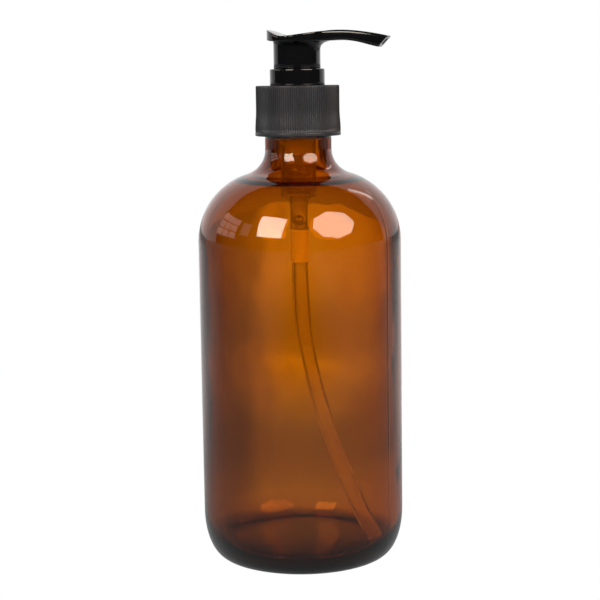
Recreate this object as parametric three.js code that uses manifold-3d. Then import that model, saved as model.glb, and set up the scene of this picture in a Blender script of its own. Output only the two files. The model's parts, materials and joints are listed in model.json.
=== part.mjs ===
// Soap pump dispenser: a round glass bottle with a 28 mm screw finish and a lock-down lotion pump.
// Millimetres, +Z up. The origin is the centre of the bottle's base; the spout points along +X.
// The pump is drawn locked down: the head is home in its collar and the spring is compressed.

import * as THREE from 'three';
import { mergeVertices } from 'three/addons/utils/BufferGeometryUtils.js';
import Module from 'manifold-3d';

const wasm = await Module();
wasm.setup();

// Bottle
const BODY_R = 37.5;
const WALL = 3.0;
const HEEL_INSET = 7.8;
const HEEL_RISE = 17.2;
const INNER_HEEL_INSET = 6.5;
const FOOT_WIDTH = 2.4;
const PUSH_UP = 3.2;
const FLOOR_Z = 4.6;
const FLOOR_CROWN = 2.2;
const SHOULDER_Z = 118.5;
const SHOULDER_R = 26;
const NECK_R = 12.2;
const NECK_FILLET = 9.5;
const BORE_R = 10.0;
const BORE_FILLET = 11.5;
const FINISH_Z = 157.5;
const FINISH_R = 12.6;
const FINISH_CHAMFER = 0.6;
const LIP_Z = 170.9;
const LIP_ROUND = 0.7;

// 28-400 thread: six turns to the inch
const THREAD_PITCH = 25.4 / 6;
const THREAD_HEIGHT = 1.1;
const THREAD_ROOT_WIDTH = 2.3;
const THREAD_CREST_WIDTH = 0.9;
const THREAD_TURNS = 1.5;
const THREAD_Z = 161.2;
const THREAD_START = THREE.MathUtils.degToRad(4);
const THREAD_BURIED = 0.4;
const THREAD_RUN_OUT = 0.12;
const THREAD_LEAST = 0.2;
const THREAD_CLEARANCE = 0.1;

// Screw closure
const CLOSURE_BOTTOM = 157.2;
const CLOSURE_TOP = 175.4;
const CLOSURE_R = 15.3;
const CLOSURE_FLANGE_R = 15.7;
const CLOSURE_FLANGE_H = 1.5;
const CLOSURE_BORE_R = 14.15;
const CLOSURE_PLATE = 1.6;
const CLOSURE_HOLE_R = 7.4;
const CLOSURE_EDGE = 0.5;
const RIB_COUNT = 120;
const RIB_DEPTH = 0.28;
const RIB_ROOT = 0.3;
const RIB_OVERLAP = 0.2;
const RIB_TOP_GAP = 0.1;
const FLARE = 0.33;
const FLARE_BOTTOM = 159.0;
const FLARE_TOP = 166.0;

// Lock collar
const COLLAR_R = 10.05;
const COLLAR_BORE_R = 9.1;
const COLLAR_BOTTOM = 175.7;
const COLLAR_TOP = 181.4;
const COLLAR_FLOOR = 1.2;
const COLLAR_ROUND = 0.5;
const HUB_R = 5.3;
const HUB_BORE_R = 3.2;
const HUB_BOTTOM = 172.0;
const SEAL_POCKET_R = 4.4;
const SEAL_POCKET_TOP = 173.9;

// Housing: barrel, valve chamber and dip tube socket in one moulding
const FLANGE_R = 12.2;
const FLANGE_BOTTOM = 172.5;
const FLANGE_TOP = 173.5;
const HOUSING_NECK_R = 6.9;
const HOUSING_TOP = 175.3;
const BARREL_R = 6.5;
const BARREL_BORE_R = 5.6;
const LEDGE_Z = 136.0;
const CHAMBER_R = 3.4;
const CHAMBER_BORE_R = 2.7;
const CHAMBER_TOP = 133.5;
const SEAT_TOP = 125.5;
const SEAT_R = 1.4;
const SOCKET_R = 3.7;
const SOCKET_BORE_R = 3.2;
const SOCKET_TOP = 122.8;
const SOCKET_STEP_BOTTOM = 123.5;
const SOCKET_STEP_TOP = 123.8;
const SOCKET_BOTTOM = 110.5;
const VENT_R = 0.7;
const VENT_Z = 167.0;

// Gasket, wiper, ball and spring
const GASKET_R = 12.0;
const GASKET_BORE_R = 7.1;
const GASKET_BOTTOM = 171.2;
const GASKET_TOP = 172.2;
const WIPER_R = 4.1;
const WIPER_BORE_R = 3.0;
const WIPER_BOTTOM = 172.2;
const WIPER_TOP = 173.6;
const BALL_R = 2.2;
const BALL_Z = 126.1;
const SPRING_R = 4.3;
const SPRING_WIRE_R = 0.5;
const SPRING_BOTTOM = 136.3;
const SPRING_TOP = 148.7;
const SPRING_TURNS = 7;
const SPRING_CLOSED_PITCH = 1.06;

// Piston seat, piston and stem
const SEAT_DISC_R = 4.6;
const SEAT_DISC_BOTTOM = 149.0;
const SEAT_DISC_TOP = 150.1;
const SEAT_ROD_TOP = 161.0;
const SEAT_FIN_R = 1.4;
const SEAT_FIN_WIDTH = 0.8;
const SEAT_FIN_BURIED = 0.5;
const SEAT_NOTCH = 1.2;
const PISTON_R = 5.45;
const PISTON_SKIRT = 0.8;
const PISTON_LIP = 0.4;
const PISTON_WAIST = 0.25;
const PISTON_BOTTOM = 149.6;
const PISTON_TOP = 156.0;
const PISTON_WEB_BOTTOM = 150.4;
const PISTON_WEB_TOP = 151.5;
const PISTON_SLEEVE_R = 2.6;
const PISTON_SLEEVE_BORE_R = 1.75;
const PISTON_SLEEVE_TOP = 153.2;
const STEM_R = 2.7;
const STEM_BORE_R = 1.75;
const STEM_BOTTOM = 155.2;
const STEM_TOP = 187.6;

// Head: skirt, saddle plate and spout in one moulding
const SKIRT_R = 8.575;
const SKIRT_LOW_R = 8.1;
const SKIRT_BORE_R = 7.1;
const SKIRT_BOTTOM = 177.3;
const SKIRT_STEP = 181.5;
const SKIRT_STEP_H = 0.4;
const SKIRT_CEILING = 189.6;
const SKIRT_TOP = 192.05;
const BOSS_R = 4.5;
const BOSS_BOTTOM = 180.5;
const OVERLAP = 0.5;
const SOCKET_DEPTH_TOP = 187.9;
const STEM_SOCKET_R = 3.0;
const LOCK_RIB_HEIGHT = 0.6;
const LOCK_RIB_Z = 178.6;
const LOCK_RIB_PITCH = 2.6;
const LOCK_RIB_ROOT = 1.0;
const LOCK_RIB_CREST = 0.5;
const LOCK_RIB_TURNS = 0.85;
const PLATE_R = 10.9;
const PLATE_HALF = 10.9;
const PLATE_REAR_HALF = 1.6;
const SECTION_POWER = 0.45;
const SECTION_COUNT = 26;
const SPOUT_START = 12;
const SLANT_START = 22;
const SPOUT_ROOT_HALF = 4.7;
const SPOUT_TIP_HALF = 3.5;
const SPOUT_END = 32.6;
const SPOUT_SLANT = 1.8;
const CHANNEL_R = 1.35;

// Dip tube
const TUBE_R = 2.9;
const TUBE_BORE_R = 2.2;
const TUBE_TOP = 122.5;
const TUBE_BEND_Z = 104;
const TUBE_TIP_Z = 7.2;
const TUBE_TIP_REACH = 29.3;
const TUBE_TURN = THREE.MathUtils.degToRad(-9);
const TUBE_BEND_POWER = 1.85;

const AMBER = { color: 0x7a3a0c, roughness: 0.05, metalness: 0 };
const GLOSS_BLACK = { color: 0x0c0c0e, roughness: 0.18, metalness: 0 };
const SATIN_BLACK = { color: 0x19191c, roughness: 0.45, metalness: 0 };
const NATURAL = { color: 0xe6e2d6, roughness: 0.35, metalness: 0 };
const STEEL = { color: 0xb8bcc0, roughness: 0.25, metalness: 1 };
const FOAM = { color: 0xf2f0ea, roughness: 0.9, metalness: 0 };

const point = (r, z) => new THREE.Vector2(r, z);

// Points of an elliptical arc in the (radius, height) plane, angles in degrees.
function arc(centreR, centreZ, radiusR, radiusZ, from, to, steps) {
  const points = [];
  for (let i = 0; i <= steps; i += 1) {
    const angle = THREE.MathUtils.degToRad(from + ((to - from) * i) / steps);
    points.push(point(centreR + radiusR * Math.cos(angle), centreZ + radiusZ * Math.sin(angle)));
  }
  return points;
}

// Turns a merged, indexed geometry into a manifold solid.
function toSolid(geometry) {
  const bare = geometry.clone();
  bare.deleteAttribute('normal');
  bare.deleteAttribute('uv');
  const merged = mergeVertices(bare, 1e-4);
  const index = merged.index.array;
  const triVerts = [];
  for (let i = 0; i < index.length; i += 3) {
    const [a, b, c] = [index[i], index[i + 1], index[i + 2]];
    if (a !== b && b !== c && c !== a) {
      triVerts.push(a, b, c);
    }
  }
  return new wasm.Manifold(new wasm.Mesh({
    numProp: 3,
    vertProperties: new Float32Array(merged.attributes.position.array),
    triVerts: new Uint32Array(triVerts),
  }));
}

function toGeometry(solid) {
  const mesh = solid.getMesh();
  const geometry = new THREE.BufferGeometry();
  geometry.setAttribute('position', new THREE.BufferAttribute(mesh.vertProperties, 3));
  geometry.setIndex(new THREE.BufferAttribute(mesh.triVerts, 1));
  geometry.computeVertexNormals();
  return geometry;
}

// A solid of revolution about Z from a profile that closes on itself or ends on the axis.
function turned(profile, segments) {
  const onAxis = profile[0].x === 0 && profile[profile.length - 1].x === 0;
  const outline = onAxis ? [...profile] : [...profile, profile[0]];
  if (THREE.ShapeUtils.area(profile) < 0) {
    outline.reverse();
  }
  const lathe = new THREE.LatheGeometry(outline, segments);
  lathe.rotateX(Math.PI / 2);
  return toSolid(lathe);
}

// A plain ring or disc with square edges.
function ring(outer, inner, bottom, top, segments) {
  return turned([point(inner, bottom), point(outer, bottom), point(outer, top), point(inner, top)], segments);
}

// An outline in the (radius, height) plane swept up a right-handed helix about Z.
function helixSweep(outline, turns, stepsPerTurn, place) {
  const steps = Math.round(turns * stepsPerTurn);
  const bar = new THREE.ExtrudeGeometry(new THREE.Shape(outline), { depth: 1, steps, bevelEnabled: false });
  const positions = bar.attributes.position;
  for (let i = 0; i < positions.count; i += 1) {
    const along = positions.getZ(i);
    const angle = THREAD_START + along * turns * 2 * Math.PI;
    const { r, z } = place(positions.getX(i), -positions.getY(i), along);
    positions.setXYZ(i, r * Math.cos(angle), r * Math.sin(angle), z);
  }
  return toSolid(bar);
}

// A screw ridge that stands out (side 1) or in (side -1) from a wall, run out to nothing at both ends.
function threadRidge({ wallR, side, height, rootWidth, crestWidth, pitch, startZ, turns }) {
  const outline = [
    point(-THREAD_BURIED, -rootWidth / 2),
    point(height, -crestWidth / 2),
    point(height, crestWidth / 2),
    point(-THREAD_BURIED, rootWidth / 2),
  ];
  return helixSweep(outline, turns, 20, (x, y, along) => {
    const end = Math.min(along, 1 - along) / THREAD_RUN_OUT;
    const grown = x > 0 ? x * THREE.MathUtils.clamp(end, THREAD_LEAST, 1) : x;
    return { r: wallR + side * grown, z: startZ + side * y + along * turns * pitch };
  });
}

// The fillet that leaves a shoulder arc centred at (centreR, SHOULDER_Z) and ends on an upright neck wall.
function shoulderAndFillet(centreR, arcR, neckR, filletR) {
  const across = neckR + filletR - centreR;
  const up = Math.sqrt((arcR + filletR) ** 2 - across ** 2);
  const tangent = THREE.MathUtils.radToDeg(Math.atan2(up, across));
  return [
    ...arc(centreR, SHOULDER_Z, arcR, arcR, 0, tangent, 8),
    ...arc(neckR + filletR, SHOULDER_Z + up, filletR, filletR, 180 + tangent, 180, 4).slice(1),
  ];
}

function bottle() {
  const shoulderCentre = BODY_R - SHOULDER_R;
  const footR = BODY_R - HEEL_INSET;
  const innerR = BODY_R - WALL;
  const innerFloorR = innerR - INNER_HEEL_INSET;
  const outside = [
    point(0, PUSH_UP),
    ...arc(0, 0, footR - FOOT_WIDTH, PUSH_UP, 60, 0, 2),
    ...arc(footR, HEEL_RISE, HEEL_INSET, HEEL_RISE, -90, 0, 5),
    ...shoulderAndFillet(shoulderCentre, SHOULDER_R, NECK_R, NECK_FILLET),
    point(NECK_R, FINISH_Z - FINISH_CHAMFER),
    point(FINISH_R, FINISH_Z),
    ...arc(FINISH_R - LIP_ROUND, LIP_Z - LIP_ROUND, LIP_ROUND, LIP_ROUND, 0, 90, 2),
  ];
  const inside = [
    point(0, FLOOR_Z + FLOOR_CROWN),
    ...arc(0, FLOOR_Z, innerFloorR, FLOOR_CROWN, 60, 0, 2),
    ...arc(innerFloorR, HEEL_RISE, INNER_HEEL_INSET, HEEL_RISE - FLOOR_Z, -90, 0, 4).slice(1),
    ...shoulderAndFillet(shoulderCentre, SHOULDER_R - WALL, BORE_R, BORE_FILLET),
    ...arc(BORE_R + LIP_ROUND, LIP_Z - LIP_ROUND, LIP_ROUND, LIP_ROUND, 180, 90, 2),
  ];
  const glass = turned([...outside, ...inside.reverse()], 40);
  return glass.add(threadRidge({
    wallR: FINISH_R,
    side: 1,
    height: THREAD_HEIGHT,
    rootWidth: THREAD_ROOT_WIDTH,
    crestWidth: THREAD_CREST_WIDTH,
    pitch: THREAD_PITCH,
    startZ: THREAD_Z,
    turns: THREAD_TURNS,
  }));
}

// The gripping ribs: a toothed tube as tall as the closure between its flange and its top edge.
function ribs(innerR, bottom, top) {
  const outline = [];
  for (let i = 0; i < 2 * RIB_COUNT; i += 1) {
    const r = i % 2 === 0 ? CLOSURE_R : CLOSURE_R - RIB_DEPTH;
    const angle = (i * Math.PI) / RIB_COUNT;
    outline.push(point(r * Math.cos(angle), r * Math.sin(angle)));
  }
  const toothed = new THREE.Shape(outline);
  toothed.holes.push(new THREE.Path().absarc(0, 0, innerR, 0, 2 * Math.PI, true));
  const tube = new THREE.ExtrudeGeometry(toothed, {
    depth: top - bottom,
    curveSegments: 15,
    bevelEnabled: false,
  });
  tube.translate(0, 0, bottom);
  return toSolid(tube);
}

// The skirt that the side flares out to just above the flange.
function flare(innerR) {
  return turned([
    point(innerR, FLARE_BOTTOM - CLOSURE_FLANGE_H),
    point(CLOSURE_R + FLARE, FLARE_BOTTOM - CLOSURE_FLANGE_H),
    point(CLOSURE_R + FLARE, FLARE_BOTTOM),
    point(innerR, FLARE_TOP),
  ], 40);
}

function closure() {
  const flangeTop = CLOSURE_BOTTOM + CLOSURE_FLANGE_H;
  const coreR = CLOSURE_R - 2 * RIB_DEPTH;
  const plateBottom = CLOSURE_TOP - CLOSURE_PLATE;
  const core = turned([
    point(CLOSURE_BORE_R, CLOSURE_BOTTOM),
    point(CLOSURE_FLANGE_R, CLOSURE_BOTTOM),
    point(CLOSURE_FLANGE_R, flangeTop),
    point(coreR, flangeTop),
    point(coreR, CLOSURE_TOP - CLOSURE_EDGE),
    point(coreR - CLOSURE_EDGE / 2, CLOSURE_TOP),
    point(CLOSURE_HOLE_R, CLOSURE_TOP),
    point(CLOSURE_HOLE_R, plateBottom),
    point(CLOSURE_BORE_R, plateBottom),
  ], 40);
  const ribTop = CLOSURE_TOP - CLOSURE_EDGE - RIB_TOP_GAP;
  const sides = ribs(coreR - RIB_ROOT, flangeTop - RIB_OVERLAP, ribTop).add(flare(coreR - RIB_ROOT));
  const shell = core.add(sides);
  return shell.add(threadRidge({
    wallR: CLOSURE_BORE_R,
    side: -1,
    height: THREAD_HEIGHT - THREAD_CLEARANCE,
    rootWidth: THREAD_ROOT_WIDTH,
    crestWidth: THREAD_CREST_WIDTH,
    pitch: THREAD_PITCH,
    startZ: THREAD_Z - THREAD_PITCH / 2,
    turns: THREAD_TURNS,
  }));
}

function collar() {
  const floorTop = COLLAR_BOTTOM + COLLAR_FLOOR;
  return turned([
    point(HUB_BORE_R, SEAL_POCKET_TOP),
    point(SEAL_POCKET_R, SEAL_POCKET_TOP),
    point(SEAL_POCKET_R, HUB_BOTTOM),
    point(HUB_R, HUB_BOTTOM),
    point(HUB_R, COLLAR_BOTTOM),
    point(COLLAR_R, COLLAR_BOTTOM),
    ...arc(COLLAR_R - COLLAR_ROUND, COLLAR_TOP - COLLAR_ROUND, COLLAR_ROUND, COLLAR_ROUND, 0, 90, 3),
    point(COLLAR_BORE_R, COLLAR_TOP),
    point(COLLAR_BORE_R, floorTop),
    point(HUB_BORE_R, floorTop),
  ], 40);
}

function housing() {
  const seatBottom = SEAT_TOP - (CHAMBER_BORE_R - SEAT_R);
  const body = turned([
    point(SOCKET_BORE_R, SOCKET_BOTTOM),
    point(SOCKET_R, SOCKET_BOTTOM),
    point(SOCKET_R, SOCKET_STEP_BOTTOM),
    point(CHAMBER_R, SOCKET_STEP_TOP),
    point(CHAMBER_R, CHAMBER_TOP),
    point(BARREL_R, LEDGE_Z),
    point(BARREL_R, FLANGE_BOTTOM),
    point(FLANGE_R, FLANGE_BOTTOM),
    point(FLANGE_R, FLANGE_TOP),
    point(HOUSING_NECK_R, FLANGE_TOP),
    point(HOUSING_NECK_R, HOUSING_TOP),
    point(BARREL_BORE_R, HOUSING_TOP),
    point(BARREL_BORE_R, LEDGE_Z),
    point(CHAMBER_BORE_R, LEDGE_Z),
    point(CHAMBER_BORE_R, SEAT_TOP),
    point(SEAT_R, seatBottom),
    point(SEAT_R, SOCKET_TOP),
    point(SOCKET_BORE_R, SOCKET_TOP),
  ], 32);
  const drill = new THREE.CylinderGeometry(VENT_R, VENT_R, BARREL_R, 12);
  drill.translate(0, BARREL_R, VENT_Z);
  return body.subtract(toSolid(drill));
}

// The spring's wire, with its first and last turns closed up so that it stands flat.
function returnSpring() {
  const wire = arc(0, 0, SPRING_WIRE_R, SPRING_WIRE_R, 0, 360, 6).slice(1);
  const rise = SPRING_TOP - SPRING_BOTTOM - 2 * SPRING_WIRE_R;
  const openPitch = (rise - 2 * SPRING_CLOSED_PITCH) / (SPRING_TURNS - 2);
  return helixSweep(wire, SPRING_TURNS, 18, (x, y, along) => {
    const turn = along * SPRING_TURNS;
    const open = THREE.MathUtils.clamp(turn - 1, 0, SPRING_TURNS - 2);
    const climbed = open * openPitch + (turn - open) * SPRING_CLOSED_PITCH;
    return { r: SPRING_R + x, z: SPRING_BOTTOM + SPRING_WIRE_R + y + climbed };
  });
}

function inletBall() {
  const ball = new THREE.SphereGeometry(BALL_R, 14, 9);
  ball.rotateX(Math.PI / 2);
  ball.translate(0, 0, BALL_Z);
  return toSolid(ball);
}

// The disc that the spring pushes on, with a cross-shaped rod that leaves the soap four ways up the stem.
function pistonSeat() {
  let seat = ring(SEAT_DISC_R, 0, SEAT_DISC_BOTTOM, SEAT_DISC_TOP, 32);
  const notch = new THREE.BoxGeometry(SEAT_NOTCH, SEAT_NOTCH, 3 * (SEAT_DISC_TOP - SEAT_DISC_BOTTOM));
  for (let i = 0; i < 4; i += 1) {
    const angle = (i * Math.PI) / 2;
    const cut = notch.clone();
    cut.translate(SEAT_DISC_R, 0, SEAT_DISC_BOTTOM);
    cut.rotateZ(angle);
    seat = seat.subtract(toSolid(cut));
  }
  for (let i = 0; i < 2; i += 1) {
    const height = SEAT_ROD_TOP - SEAT_DISC_TOP + SEAT_FIN_BURIED;
    const fin = new THREE.BoxGeometry(2 * SEAT_FIN_R, SEAT_FIN_WIDTH, height);
    fin.translate(0, 0, SEAT_ROD_TOP - height / 2);
    fin.rotateZ((i * Math.PI) / 2);
    seat = seat.add(toSolid(fin));
  }
  return seat;
}

function piston() {
  const lip = PISTON_R - PISTON_SKIRT;
  return turned([
    point(PISTON_SLEEVE_BORE_R, PISTON_WEB_BOTTOM),
    point(lip - PISTON_WAIST, PISTON_WEB_BOTTOM),
    point(PISTON_R - PISTON_LIP, PISTON_BOTTOM),
    point(PISTON_R, PISTON_BOTTOM),
    point(PISTON_R - PISTON_WAIST, PISTON_WEB_TOP),
    point(PISTON_R, PISTON_TOP),
    point(PISTON_R - PISTON_LIP, PISTON_TOP),
    point(lip, PISTON_WEB_TOP),
    point(PISTON_SLEEVE_R, PISTON_WEB_TOP),
    point(PISTON_SLEEVE_R, PISTON_SLEEVE_TOP),
    point(PISTON_SLEEVE_BORE_R, PISTON_SLEEVE_TOP),
  ], 32);
}

// Side outline of the head: the saddle dips behind the spout, and the spout droops at its end.
const headTop = new THREE.SplineCurve([
  point(-PLATE_R, 195.7), point(-8.6, 194.85), point(-4.9, 193.4), point(0, 193.3), point(5.6, 194.0),
  point(12, 194.9), point(18, 195.05), point(25, 194.4), point(SPOUT_END, 192.7),
]);
const headBottom = new THREE.SplineCurve([
  point(-PLATE_R, 191.8), point(-8.6, 191.4), point(0, 191.2), point(9, 191.1), point(14, 191.3),
  point(18.8, 191.3), point(25, 190.3), point(SPOUT_END, 188.7),
]);

// Height of a side outline at a distance along the spout.
function heightAt(curve, x) {
  let low = 0;
  let high = 1;
  for (let i = 0; i < 40; i += 1) {
    const middle = (low + high) / 2;
    if (curve.getPoint(middle).x < x) {
      low = middle;
    } else {
      high = middle;
    }
  }
  return curve.getPoint(low).y;
}

// Half-width of the head seen from above: a round saddle plate that runs into a tapering spout.
function headHalfWidth(x) {
  const plate = Math.sqrt(Math.max(0, 1 - (x / PLATE_R) ** 2)) * PLATE_HALF;
  const along = THREE.MathUtils.clamp(x / SPOUT_END, 0, 1);
  const spout = x > 0 ? THREE.MathUtils.lerp(SPOUT_ROOT_HALF, SPOUT_TIP_HALF, along) : PLATE_REAR_HALF;
  return Math.cbrt(plate ** 3 + spout ** 3);
}

// Where along the head a cross-section stands: close together round the plate's ends, even along the spout.
function stationAt(along) {
  const plateShare = 0.625;
  if (along >= plateShare) {
    return THREE.MathUtils.lerp(SPOUT_START, SPOUT_END, (along - plateShare) / (1 - plateShare));
  }
  const eased = (1 - Math.cos((Math.PI * along) / plateShare)) / 2;
  return THREE.MathUtils.lerp(-PLATE_R, SPOUT_START, eased);
}

// Pulls a sine or cosine towards one, which squares off a round cross-section.
function squared(value) {
  return Math.sign(value) * Math.abs(value) ** SECTION_POWER;
}

function saddleAndSpout() {
  const outline = [];
  for (let i = 0; i < 16; i += 1) {
    const angle = ((i + 0.5) * Math.PI) / 8;
    outline.push(point(squared(Math.cos(angle)), squared(Math.sin(angle))));
  }
  const bar = new THREE.ExtrudeGeometry(new THREE.Shape(outline), {
    depth: 1,
    steps: SECTION_COUNT,
    bevelEnabled: false,
  });
  const positions = bar.attributes.position;
  for (let i = 0; i < positions.count; i += 1) {
    const [across, up, along] = [positions.getX(i), positions.getY(i), positions.getZ(i)];
    const x = stationAt(along);
    const top = heightAt(headTop, x);
    const bottom = heightAt(headBottom, x);
    const slant = SPOUT_SLANT * THREE.MathUtils.smoothstep(x, SLANT_START, SPOUT_END);
    const z = (top + bottom) / 2 + (up * (top - bottom)) / 2;
    positions.setXYZ(i, x + slant * up, across * headHalfWidth(x), z);
  }
  return toSolid(bar);
}

// The way the soap goes: across from the stem socket and out along the spout.
function channel() {
  const route = new THREE.CatmullRomCurve3([
    new THREE.Vector3(0, 0, SOCKET_DEPTH_TOP - 1),
    new THREE.Vector3(0.2, 0, 189.3),
    new THREE.Vector3(1.8, 0, 191.0),
    new THREE.Vector3(6, 0, 192.3),
    new THREE.Vector3(12, 0, 193.1),
    new THREE.Vector3(18, 0, 193.3),
    new THREE.Vector3(25, 0, 192.5),
    new THREE.Vector3(SPOUT_END, 0, 190.7),
    new THREE.Vector3(SPOUT_END + 6, 0, 188.5),
  ]);
  const section = new THREE.Shape().absarc(0, 0, CHANNEL_R, 0.13, 0.13 + 2 * Math.PI);
  return toSolid(new THREE.ExtrudeGeometry(section, {
    steps: 24,
    curveSegments: 5,
    bevelEnabled: false,
    extrudePath: route,
  }));
}

function head() {
  const skirt = turned([
    point(SKIRT_LOW_R, SKIRT_BOTTOM),
    point(SKIRT_LOW_R, SKIRT_STEP - SKIRT_STEP_H),
    point(SKIRT_R, SKIRT_STEP),
    point(SKIRT_R, SKIRT_TOP),
    point(0, SKIRT_TOP),
    point(0, SKIRT_CEILING),
    point(SKIRT_BORE_R, SKIRT_CEILING),
    point(SKIRT_BORE_R, SKIRT_BOTTOM),
  ].reverse(), 40);
  const boss = ring(BOSS_R, 0, BOSS_BOTTOM, SKIRT_CEILING + OVERLAP, 24);
  const socket = ring(STEM_SOCKET_R, 0, BOSS_BOTTOM - OVERLAP, SOCKET_DEPTH_TOP, 24);
  const lockRib = threadRidge({
    wallR: SKIRT_LOW_R,
    side: 1,
    height: LOCK_RIB_HEIGHT,
    rootWidth: LOCK_RIB_ROOT,
    crestWidth: LOCK_RIB_CREST,
    pitch: LOCK_RIB_PITCH,
    startZ: LOCK_RIB_Z,
    turns: LOCK_RIB_TURNS,
  });
  return saddleAndSpout().add(skirt).add(lockRib).add(boss).subtract(socket).subtract(channel());
}

// A long sweep: straight below the housing, then an even curve out to the foot of the bottle's wall.
function dipTube() {
  const points = [new THREE.Vector3(0, 0, TUBE_TOP)];
  const bends = 12;
  for (let i = 0; i <= bends; i += 1) {
    const down = i / bends;
    const z = THREE.MathUtils.lerp(TUBE_BEND_Z, TUBE_TIP_Z, down);
    points.push(new THREE.Vector3(TUBE_TIP_REACH * down ** TUBE_BEND_POWER, 0, z));
  }
  const section = new THREE.Shape().absarc(0, 0, TUBE_R, 0, 2 * Math.PI);
  section.holes.push(new THREE.Path().absarc(0, 0, TUBE_BORE_R, 0, 2 * Math.PI, true));
  const tube = new THREE.ExtrudeGeometry(section, {
    steps: 24,
    curveSegments: 6,
    bevelEnabled: false,
    extrudePath: new THREE.CatmullRomCurve3(points),
  });
  tube.rotateZ(TUBE_TURN);
  return toSolid(tube);
}

function part(name, solid, look) {
  const mesh = new THREE.Mesh(toGeometry(solid), new THREE.MeshStandardMaterial(look));
  mesh.name = name;
  return mesh;
}

const dispenser = new THREE.Group();
dispenser.add(part('bottle', bottle(), AMBER));
dispenser.add(part('closure', closure(), SATIN_BLACK));
dispenser.add(part('neck_gasket', ring(GASKET_R, GASKET_BORE_R, GASKET_BOTTOM, GASKET_TOP, 48), FOAM));
dispenser.add(part('housing', housing(), NATURAL));
dispenser.add(part('lock_collar', collar(), GLOSS_BLACK));
dispenser.add(part('stem_wiper', ring(WIPER_R, WIPER_BORE_R, WIPER_BOTTOM, WIPER_TOP, 32), FOAM));
dispenser.add(part('inlet_ball', inletBall(), STEEL));
dispenser.add(part('dip_tube', dipTube(), NATURAL));
dispenser.add(part('return_spring', returnSpring(), STEEL));
dispenser.add(part('piston', piston(), NATURAL));
dispenser.add(part('piston_seat', pistonSeat(), NATURAL));
dispenser.add(part('stem', ring(STEM_R, STEM_BORE_R, STEM_BOTTOM, STEM_TOP, 32), NATURAL));
dispenser.add(part('pump_head', head(), GLOSS_BLACK));

export default dispenser;
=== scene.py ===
"""Soap pump dispenser: an empty amber glass bottle with a lock-down lotion pump, built round the CAD frame.

Lengths below are millimetres in the CAD's own frame and become metres through MM.
"""
import json
import math

import bmesh
import bpy
from mathutils import Matrix, Vector, noise

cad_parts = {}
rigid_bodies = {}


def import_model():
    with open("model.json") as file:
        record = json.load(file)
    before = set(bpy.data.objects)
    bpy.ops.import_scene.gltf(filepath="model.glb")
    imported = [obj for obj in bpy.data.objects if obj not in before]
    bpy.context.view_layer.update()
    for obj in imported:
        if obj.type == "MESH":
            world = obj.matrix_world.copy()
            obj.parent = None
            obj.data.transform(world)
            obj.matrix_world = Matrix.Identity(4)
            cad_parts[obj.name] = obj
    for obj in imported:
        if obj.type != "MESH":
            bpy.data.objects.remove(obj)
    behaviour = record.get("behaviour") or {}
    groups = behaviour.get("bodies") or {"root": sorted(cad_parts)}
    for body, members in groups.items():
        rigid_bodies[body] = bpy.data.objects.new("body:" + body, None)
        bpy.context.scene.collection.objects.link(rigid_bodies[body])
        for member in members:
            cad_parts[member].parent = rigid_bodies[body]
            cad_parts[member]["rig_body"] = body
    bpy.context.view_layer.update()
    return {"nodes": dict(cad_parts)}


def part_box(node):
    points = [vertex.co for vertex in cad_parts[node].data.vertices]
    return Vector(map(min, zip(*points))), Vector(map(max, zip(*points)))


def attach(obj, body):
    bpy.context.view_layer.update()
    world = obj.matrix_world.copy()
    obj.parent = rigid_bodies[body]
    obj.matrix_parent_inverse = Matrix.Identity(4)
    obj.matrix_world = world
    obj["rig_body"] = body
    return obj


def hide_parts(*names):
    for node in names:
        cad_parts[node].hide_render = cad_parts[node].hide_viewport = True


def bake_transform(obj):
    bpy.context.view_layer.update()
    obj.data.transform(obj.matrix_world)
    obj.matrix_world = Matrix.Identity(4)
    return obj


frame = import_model()

MM = 0.001
TAU = 2 * math.pi


# ---- sizes read from the frame

def low(node):
    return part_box(node)[0] / MM


def high(node):
    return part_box(node)[1] / MM


BODY_R = high("bottle").x
LIP_Z = high("bottle").z
CLOSURE_BOTTOM = low("closure").z
CLOSURE_TOP = high("closure").z
CLOSURE_FLANGE_R = high("closure").x
COLLAR_R = high("lock_collar").x
COLLAR_TOP = high("lock_collar").z
HUB_BOTTOM = low("lock_collar").z
HOUSING_TOP = high("housing").z
SOCKET_BOTTOM = low("housing").z
FLANGE_R = high("housing").x
SKIRT_BOTTOM = low("pump_head").z
HEAD_BACK = low("pump_head").x
SPRING_BOTTOM = low("return_spring").z
SPRING_TOP = high("return_spring").z

# Bottle
HEEL_INSET = 7.8
HEEL_RISE = 17.2
INNER_HEEL_INSET = 6.5
WALL = 3.0
FOOT_WIDTH = 2.4
PUSH_UP = 3.2
FLOOR_Z = 4.6
FLOOR_CROWN = 2.2
SHOULDER_Z = 118.5
SHOULDER_R = 26.0
NECK_R = 12.2
NECK_FILLET = 9.5
BORE_R = 10.0
BORE_FILLET = 11.5
FINISH_Z = 157.5
FINISH_R = 12.6
FINISH_CHAMFER = 0.6
LIP_ROUND = 0.7

# Screw threads
PITCH = 25.4 / 6
THREAD_Z = 161.2
THREAD_HEIGHT = 1.1
THREAD_TURNS = 1.5
THREAD_START = math.radians(4)
THREAD_CREST = 0.45
THREAD_ROOT = 1.15
THREAD_CLEARANCE = 0.1

# Marks that moulding leaves on the glass
SEAM_ANGLE = math.radians(-18)
SEAM_HALF_ANGLE = math.radians(0.7)
SEAM_HEIGHT = 0.06
FOOT_STIPPLE = 0.12
FOOT_STIPPLE_COUNT = 80
INNER_WAVE = 0.22
INNER_RIPPLE = 0.08
OUTER_WAVE = 0.03

# Glass added inside the shoulder and neck, beyond what the CAD has there
THICKENING = 1.1
THICKENING_START = 118
THICKENING_FULL = 150
THICKENING_FADE = 158
THICKENING_END = 168

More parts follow.
